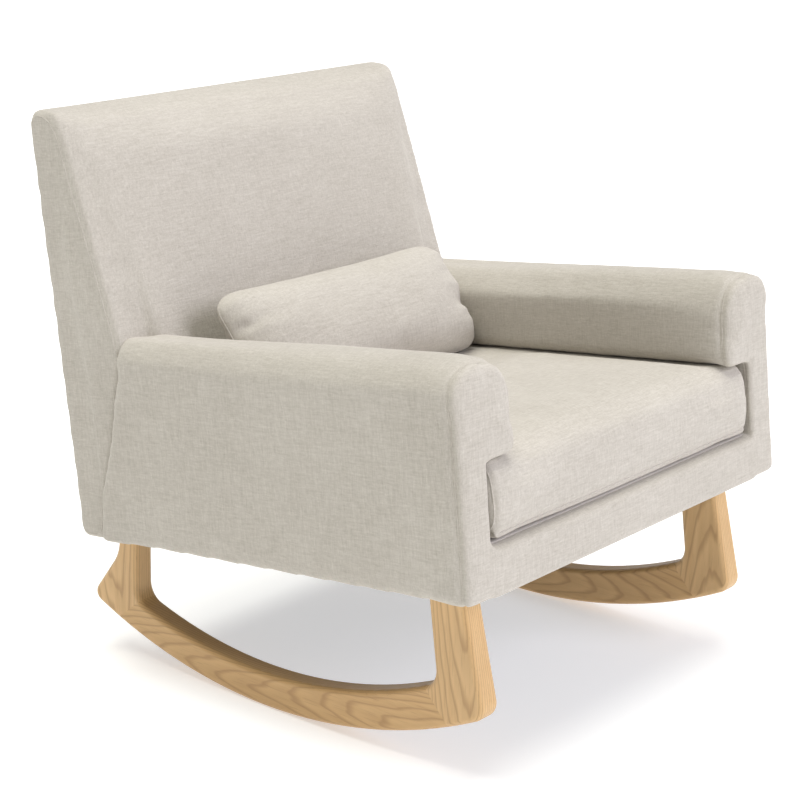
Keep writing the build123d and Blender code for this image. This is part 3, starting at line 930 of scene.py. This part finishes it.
groove(deck, deck_gap, 0.0010, 0.006, deck_upper)
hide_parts("seat_deck")
deck_seam = seam_curve(
    "deck_seam",
    CHAIR,
    deck,
    section(deck, to_world(0, DECK_SEAM_U, 0), U_AXIS, deck_upper),
    0.0009,
)

DUST_HALF = 0.3200
DUST_FRONT, DUST_REAR = 0.024, 0.736


def dust_body(bm):
    """A thin cloth stretched under the rails, drawn in at its staples."""
    columns, rows = 60, 64
    grid = []
    for j in range(rows + 1):
        row = []
        for i in range(columns + 1):
            s, t = -1 + 2 * i / columns, -1 + 2 * j / rows
            x = s * DUST_HALF
            u = DUST_FRONT + (DUST_REAR - DUST_FRONT) * (t + 1) / 2
            inner = ease((0.286 - abs(x)) / 0.05) * ease((u - 0.05) / 0.05) * ease((0.70 - u) / 0.05)
            rib = noise.noise(Vector((x * 9.0, u * 9.0, 1.0))) * 0.0012
            v = -0.0008 + inner * (-0.0016 * (1 - s * s) * (1 - t * t) - abs(rib) * 0.5)
            row.append(bm.verts.new(to_world(x, u, v)))
        grid.append(row)
    for j in range(rows):
        for i in range(columns):
            bm.faces.new((grid[j][i], grid[j + 1][i], grid[j + 1][i + 1], grid[j][i + 1]))


dust = mesh_object("dust_cloth_panel", CHAIR, dust_body)
thick = dust.modifiers.new("thickness", "SOLIDIFY")
thick.thickness = 0.0006
thick.offset = 0.0
settle(dust)
for polygon in dust.data.polygons:
    polygon.use_smooth = True
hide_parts("dust_cover")


def staples_body(bm):
    """Wire staples along the edges of the dust cloth."""
    spots = []
    for i in range(15):
        u = 0.05 + i * 0.046
        spots += [(-0.314, u, 1), (0.314, u, 1)]
    for i in range(13):
        x = -0.27 + i * 0.045
        spots += [(x, 0.030, 0), (x, 0.730, 0)]
    for x, u, along_u in spots:
        half_long, half_short = 0.0045, 0.0006
        du, dx = (half_long, half_short) if along_u else (half_short, half_long)
        low, high = -0.0019, -0.0009
        base = [(x - dx, u - du), (x + dx, u - du), (x + dx, u + du), (x - dx, u + du)]
        top = [bm.verts.new(to_world(a, b, high)) for a, b in base]
        under = [bm.verts.new(to_world(x + (a - x) * 0.85, u + (b - u) * 0.85, low)) for a, b in base]
        bm.faces.new(top)
        bm.faces.new(under[::-1])
        for i in range(4):
            j = (i + 1) % 4
            bm.faces.new((top[j], top[i], under[i], under[j]))


staples = mesh_object("dust_cloth_staples", CHAIR, staples_body)

# ---------------------------------------------------------------- materials


class Nodes:
    """A material's node tree, with short ways to add to it."""

    def __init__(self, name):
        self.material = bpy.data.materials.new(name)
        self.material.use_nodes = True
        self.tree = self.material.node_tree
        self.shader = self.tree.nodes["Principled BSDF"]
        self.coords = self.tree.nodes.new("ShaderNodeTexCoord").outputs["Object"]

    def link(self, a, b):
        self.tree.links.new(a, b)

    def feed(self, socket, value):
        """Sets a socket from a number, a tuple or another socket."""
        if isinstance(value, bpy.types.NodeSocket):
            self.link(value, socket)
        else:
            socket.default_value = value

    def math(self, kind, a, b=0.0, c=0.0, clamp=False):
        node = self.tree.nodes.new("ShaderNodeMath")
        node.operation = kind
        node.use_clamp = clamp
        for socket, value in zip(node.inputs, (a, b, c)):
            self.feed(socket, value)
        return node.outputs[0]

    def mapped(self, scale, place=(0, 0, 0), turn=(0, 0, 0), source=None):
        node = self.tree.nodes.new("ShaderNodeMapping")
        self.link(source or self.coords, node.inputs["Vector"])
        node.inputs["Scale"].default_value = scale
        node.inputs["Location"].default_value = place
        node.inputs["Rotation"].default_value = turn
        return node.outputs[0]

    def noise(self, vector, scale, detail=2.0, rough=0.5):
        node = self.tree.nodes.new("ShaderNodeTexNoise")
        self.link(vector, node.inputs["Vector"])
        node.inputs["Scale"].default_value = scale
        node.inputs["Detail"].default_value = detail
        node.inputs["Roughness"].default_value = rough
        return node.outputs["Fac"]

    def ramp(self, value, stops, smooth=False):
        node = self.tree.nodes.new("ShaderNodeValToRGB")
        self.link(value, node.inputs[0])
        ramp = node.color_ramp
        if smooth:
            ramp.interpolation = "EASE"
        while len(ramp.elements) < len(stops):
            ramp.elements.new(0.5)
        for element, (place, colour) in zip(ramp.elements, stops):
            element.position = place
            element.color = (*colour, 1.0) if len(colour) == 3 else colour
        return node.outputs["Color"]

    def mix(self, share, a, b, kind="MIX"):
        node = self.tree.nodes.new("ShaderNodeMix")
        node.data_type = "RGBA"
        node.blend_type = kind
        self.feed(node.inputs["Factor"], share)
        self.feed(node.inputs[6], a if isinstance(a, bpy.types.NodeSocket) else (*a, 1.0))
        self.feed(node.inputs[7], b if isinstance(b, bpy.types.NodeSocket) else (*b, 1.0))
        return node.outputs[2]

    def bump(self, height, strength, distance, under=None):
        node = self.tree.nodes.new("ShaderNodeBump")
        node.inputs["Strength"].default_value = strength
        node.inputs["Distance"].default_value = distance
        self.link(height, node.inputs["Height"])
        if under:
            self.link(under, node.inputs["Normal"])
        return node.outputs[0]

    def finish(self, colour, roughness, normal=None):
        self.feed(self.shader.inputs["Base Color"], colour)
        self.feed(self.shader.inputs["Roughness"], roughness)
        if normal:
            self.link(normal, self.shader.inputs["Normal"])
        return self.material


def woven(name, light, dark, thread=1.0, slub=0.5, bump=0.4, roughness=0.88, sheen=0.25):
    """Slubby plain-weave cloth: threads along two of three axes, chosen by the way a face looks."""
    n = Nodes(name)
    turned = n.mapped((1, 1, 1), turn=(TIP, 0, 0))
    geometry = n.tree.nodes.new("ShaderNodeTexCoord").outputs["Normal"]
    split = n.tree.nodes.new("ShaderNodeSeparateXYZ")
    n.link(geometry, split.inputs[0])
    threads = []
    slubs = []
    for axis in range(3):
        stretch = [720.0 / thread] * 3
        stretch[axis] = 105.0 / thread
        fine = n.noise(n.mapped(stretch, source=turned), 1.0, 2.0, 0.6)
        stretch = [330.0 / thread] * 3
        stretch[axis] = 34.0 / thread
        broad = n.noise(n.mapped(stretch, place=(3.1, 1.7, 5.3), source=turned), 1.0, 1.0, 0.5)
        facing = n.math("ABSOLUTE", split.outputs[axis])
        weight = n.math("SUBTRACT", 1.0, n.math("POWER", facing, 2.0), clamp=True)
        threads.append(n.math("MULTIPLY", fine, weight))
        slubs.append(n.math("MULTIPLY", broad, weight))
    weave = n.math("MULTIPLY", n.math("ADD", n.math("ADD", threads[0], threads[1]), threads[2]), 0.5)
    slubbed = n.math("MULTIPLY", n.math("ADD", n.math("ADD", slubs[0], slubs[1]), slubs[2]), 0.5)
    mottle = n.noise(n.coords, 5.0, 3.0, 0.6)
    speck = n.noise(n.coords, 420.0, 1.0, 0.5)
    tone = n.math("MULTIPLY_ADD", slubbed, slub * 1.7, 0.5 - slub * 0.85)
    tone = n.math("MULTIPLY_ADD", n.math("SUBTRACT", weave, 0.5), 1.7, tone)
    tone = n.math("MULTIPLY_ADD", n.math("SUBTRACT", mottle, 0.5), 0.45, tone)
    tone = n.math("MULTIPLY_ADD", n.math("SUBTRACT", speck, 0.5), 0.30, tone, clamp=True)
    colour = n.mix(tone, dark, light)
    height = n.math("MULTIPLY_ADD", slubbed, 0.7, weave)
    n.shader.inputs["Sheen Weight"].default_value = sheen
    n.shader.inputs["Sheen Roughness"].default_value = 0.55
    n.shader.inputs["Sheen Tint"].default_value = (1.0, 0.97, 0.93, 1.0)
    n.shader.inputs["Specular IOR Level"].default_value = 0.18
    rough = n.math("MULTIPLY_ADD", weave, -0.12, roughness + 0.06)
    return n.finish(colour, rough, n.bump(height, bump, 0.0012))


def oak(name, light, mid, dark, along, place, lean=0.06, roughness=0.40, rings=230.0):
    """Sawn oak: growth rings round an axis near the board's length, pores and flecks drawn along it."""
    n = Nodes(name)
    turn = {"y": (0, 0, 0), "z": (math.radians(90), 0, 0), "x": (0, 0, math.radians(90))}[along]
    board = n.mapped((1, 1, 1), place=place, turn=turn)
    split = n.tree.nodes.new("ShaderNodeSeparateXYZ")
    n.link(board, split.inputs[0])
    wander = n.noise(n.mapped((14, 2.2, 14), source=board), 1.0, 3.0, 0.5)
    warp = n.math("MULTIPLY_ADD", wander, 0.016, -0.008)
    across = n.math("ADD", split.outputs[0], n.math("MULTIPLY_ADD", split.outputs[1], lean, warp))
    lift = n.math("ADD", split.outputs[2], n.math("MULTIPLY", split.outputs[1], lean * 0.6))
    radius = n.math("SQRT", n.math("ADD", n.math("MULTIPLY", across, across), n.math("MULTIPLY", lift, lift)))
    spread = n.math("MULTIPLY_ADD", n.noise(n.mapped((60, 5, 60), source=board), 1.0, 2.0, 0.5), 0.5, 0.0)
    ring = n.math("FRACT", n.math("MULTIPLY_ADD", radius, rings, spread))
    grey = [(place, (share,) * 3) for place, share in ((0.0, 0.9), (0.12, 0.25), (0.70, 0.0), (1.0, 0.9))]
    late = n.ramp(ring, grey, True)
    pores = n.noise(n.mapped((900, 26, 900), source=board), 1.0, 2.0, 0.6)
    streak = n.noise(n.mapped((120, 4.0, 120), source=board), 1.0, 3.0, 0.6)
    patch = n.noise(n.mapped((6, 1.5, 6), source=board), 1.0, 2.0, 0.5)
    base = n.mix(n.math("MULTIPLY_ADD", streak, 1.6, -0.30, clamp=True), mid, light)
    base = n.mix(n.math("MULTIPLY_ADD", patch, 1.2, -0.35, clamp=True), base, light)
    colour = n.mix(n.math("MULTIPLY", late, 0.55), base, dark)
    pits = n.ramp(pores, [(0.30, (0.0,) * 3), (0.42, (1.0,) * 3)])
    colour = n.mix(n.math("MULTIPLY_ADD", pits, -0.34, 0.34), colour, dark)
    rough = n.math("MULTIPLY_ADD", late, 0.12, roughness)
    height = n.math("ADD", n.math("MULTIPLY", pits, 0.6), n.math("MULTIPLY", late, -0.25))
    n.shader.inputs["Specular IOR Level"].default_value = 0.45
    n.shader.inputs["Coat Weight"].default_value = 0.15
    n.shader.inputs["Coat Roughness"].default_value = 0.35
    return n.finish(colour, rough, n.bump(height, 0.12, 0.0004))


def metal(name, tone, roughness):
    """Zinc-plated steel, finely brushed and mottled."""
    n = Nodes(name)
    n.shader.inputs["Metallic"].default_value = 1.0
    spangle = n.noise(n.coords, 260.0, 3.0, 0.6)
    brushed = n.noise(n.mapped((900, 900, 60)), 1.0, 2.0)
    colour = n.mix(spangle, tuple(c * 0.78 for c in tone), tone)
    rough = n.math("MULTIPLY_ADD", spangle, 0.25, roughness)
    return n.finish(colour, rough, n.bump(brushed, 0.1, 0.0002))


def board(name, light, dark):
    """Pressed fibre board."""
    n = Nodes(name)
    fibre = n.noise(n.coords, 180.0, 4.0, 0.7)
    blotch = n.noise(n.coords, 12.0, 2.0)
    tone = n.math("MULTIPLY_ADD", blotch, 0.4, n.math("MULTIPLY", fibre, 0.6))
    return n.finish(n.mix(tone, dark, light), 0.85, n.bump(fibre, 0.3, 0.0006))


cover_cloth = woven("linen_cover", (0.575, 0.540, 0.482), (0.385, 0.353, 0.302), slub=0.62)
cushion_cloth = woven("linen_cushion", (0.585, 0.550, 0.492), (0.395, 0.363, 0.312), slub=0.65)
pillow_cloth = woven("linen_pillow", (0.585, 0.550, 0.492), (0.395, 0.363, 0.312), slub=0.68)
deck_cloth = woven("deck_cloth", (0.600, 0.565, 0.520), (0.430, 0.395, 0.355), thread=0.8, slub=0.3)
dust_cloth = woven(
    "dust_cloth", (0.045, 0.045, 0.048), (0.016, 0.016, 0.018), thread=0.6, slub=0.2, sheen=0.1
)
webbing_cloth = woven(
    "webbing", (0.220, 0.170, 0.110), (0.080, 0.055, 0.034), thread=2.2, slub=0.7, bump=0.8
)
RAIL_COLOURS = (0.62, 0.46, 0.29), (0.52, 0.36, 0.21), (0.36, 0.23, 0.12)
DOWEL_COLOURS = (0.60, 0.44, 0.27), (0.50, 0.34, 0.20), (0.34, 0.21, 0.11)
frame_wood = oak("frame_wood", *RAIL_COLOURS, "x", (0.4, 0.1, 0.3))
dowel_wood = oak("dowel_wood", *DOWEL_COLOURS, "y", (0.2, 0.7, 0.1))
zinc = metal("zinc_steel", (0.72, 0.73, 0.74), 0.28)
panel = board("panel_board", (0.42, 0.31, 0.20), (0.24, 0.17, 0.10))

OAK_LIGHT, OAK_MID, OAK_DARK = (0.690, 0.460, 0.220), (0.570, 0.350, 0.145), (0.290, 0.150, 0.050)
RUNNER_LIGHT, RUNNER_MID = (0.640, 0.410, 0.180), (0.520, 0.310, 0.120)


def finish_node(node, material):
    """Gives a carried-over CAD node its material."""
    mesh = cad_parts[node].data
    mesh.materials.clear()
    mesh.materials.append(material)


for side, pith_x in (("left", -0.402), ("right", 0.398)):
    palette = (OAK_LIGHT, OAK_MID, OAK_DARK)
    darker = (RUNNER_LIGHT, RUNNER_MID, OAK_DARK)
    runner = oak(f"oak_runner_{side}", *darker, "y", (pith_x, 0.3, -0.052), lean=0.07)
    front = oak(f"oak_front_leg_{side}", *palette, "z", (pith_x, 0.12, 0.372))
    rear = oak(f"oak_rear_leg_{side}", *palette, "z", (pith_x, 0.40, -0.338))
    finish_node(f"runner_{side}", runner)
    finish_node(f"front_leg_{side}", front)
    finish_node(f"rear_leg_{side}", rear)
    for node in ("side_rail", "back_stile", "arm_post", "arm_board"):
        finish_node(f"{node}_{side}", frame_wood)
    finish_node(f"side_panel_{side}", panel)
for node in ("front_rail", "rear_rail", "corner_blocks", "back_top_rail", "back_lower_rail"):
    finish_node(node, frame_wood)
for node in ("leg_bolts", "leg_washers", "leg_inserts"):
    finish_node(node, zinc)
for node in ("seat_webbing_long", "seat_webbing_cross", "back_webbing"):
    finish_node(node, webbing_cloth)
finish_node("joint_dowels", dowel_wood)

for piece, material in (
    (shell, cover_cloth),
    (front_seams, cover_cloth),
    (back, cover_cloth),
    (back_seams, cover_cloth),
    (panel_seams, cover_cloth),
    (cushion, cushion_cloth),
    (cushion_seams, cushion_cloth),
    (pillow, pillow_cloth),
    (pillow_seam, pillow_cloth),
    (deck, deck_cloth),
    (deck_seam, deck_cloth),
    (dust, dust_cloth),
    (staples, zinc),
):
    piece.data.materials.clear()
    piece.data.materials.append(material)

# ---------------------------------------------------------------- floor, light and camera

floor_mesh = bpy.data.meshes.new("floor")
floor_mesh.from_pydata([(-60, -60, 0), (60, -60, 0), (60, 60, 0), (-60, 60, 0)], [], [(0, 1, 2, 3)])
floor = bpy.data.objects.new("floor", floor_mesh)
scene.collection.objects.link(floor)
paper = Nodes("floor_paper")
grain = paper.noise(paper.coords, 3.0, 2.0)
paper.shader.inputs["Emission Color"].default_value = (1.0, 1.0, 1.0, 1.0)
paper.shader.inputs["Emission Strength"].default_value = 0.44
floor_mesh.materials.append(paper.finish(paper.mix(grain, (0.70, 0.70, 0.70), (0.73, 0.73, 0.73)), 0.9))

world = bpy.data.worlds.new("studio")
world.use_nodes = True
world.node_tree.nodes["Background"].inputs["Color"].default_value = (1.0, 1.0, 1.0, 1.0)
world.node_tree.nodes["Background"].inputs["Strength"].default_value = 0.33
scene.world = world


def soft_light(name, place, spread, strength, colour):
    """A broad distant light that shines from place toward the chair."""
    light = bpy.data.lights.new(name, "SUN")
    light.angle = math.radians(spread)
    light.energy = strength
    light.color = colour
    obj = bpy.data.objects.new(name, light)
    obj.location = place
    obj.rotation_euler = (Vector((0, 0, 0.4)) - Vector(place)).to_track_quat("-Z", "Y").to_euler()
    scene.collection.objects.link(obj)


soft_light("key", (0.9, -3.4, 2.3), 38.0, 1.60, (1.0, 0.985, 1.130))
soft_light("top", (-0.2, 0.3, 3.6), 45.0, 2.75, (1.0, 1.0, 0.93))
soft_light("fill", (-3.2, -0.9, 1.6), 50.0, 0.05, (1.0, 1.0, 0.90))

CAMERA_PLACE = (-2.3098, -1.9477, 1.2917)
CAMERA_DOWN, CAMERA_TURN = 16.457, 49.52
FOCAL_LENGTH, SENSOR_WIDTH = 92.7, 36.0
lens = bpy.data.cameras.new("camera")
lens.lens = FOCAL_LENGTH
lens.sensor_width = SENSOR_WIDTH
lens.clip_end = 200.0
camera = bpy.data.objects.new("camera", lens)
camera.location = CAMERA_PLACE
camera.rotation_euler = (math.radians(90 - CAMERA_DOWN), 0.0, math.radians(-CAMERA_TURN))
scene.collection.objects.link(camera)
scene.camera = camera
scene.view_settings.view_transform = "Standard"
